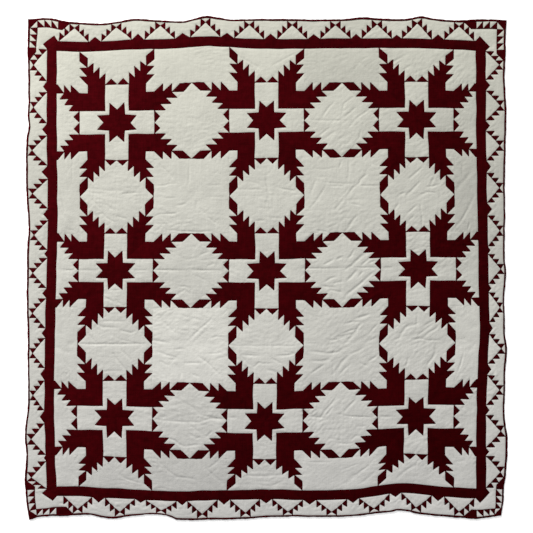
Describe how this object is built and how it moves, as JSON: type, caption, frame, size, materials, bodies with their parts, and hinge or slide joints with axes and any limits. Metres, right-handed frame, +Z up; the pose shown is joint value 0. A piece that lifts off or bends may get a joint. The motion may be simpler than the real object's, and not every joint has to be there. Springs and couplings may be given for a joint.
{
  "type": "pieced star quilt",
  "caption": "Flat rectangular bed quilt, pieced in white and dark red feathered star blocks, with a frame, a pieced border and a narrow binding.",
  "frame": {"origin": "under the middle of the outline, on the surface that the quilt lies on", "axes": "+Z up out of the pieced face, +Y towards the top edge in the picture, +X to the right"},
  "size_m": [2.1509, 2.2471, 0.0072],
  "materials": {
    "white_cotton": "matte washed plain weave cotton, off white",
    "dark_red_cotton": "matte washed plain weave cotton, very dark red"
  },
  "bodies": {
    "root": {"quilt": "white_cotton", "binding_top": "dark_red_cotton", "binding_right": "dark_red_cotton", "binding_bottom": "dark_red_cotton", "binding_left": "dark_red_cotton"}
  },
  "joints": []
}
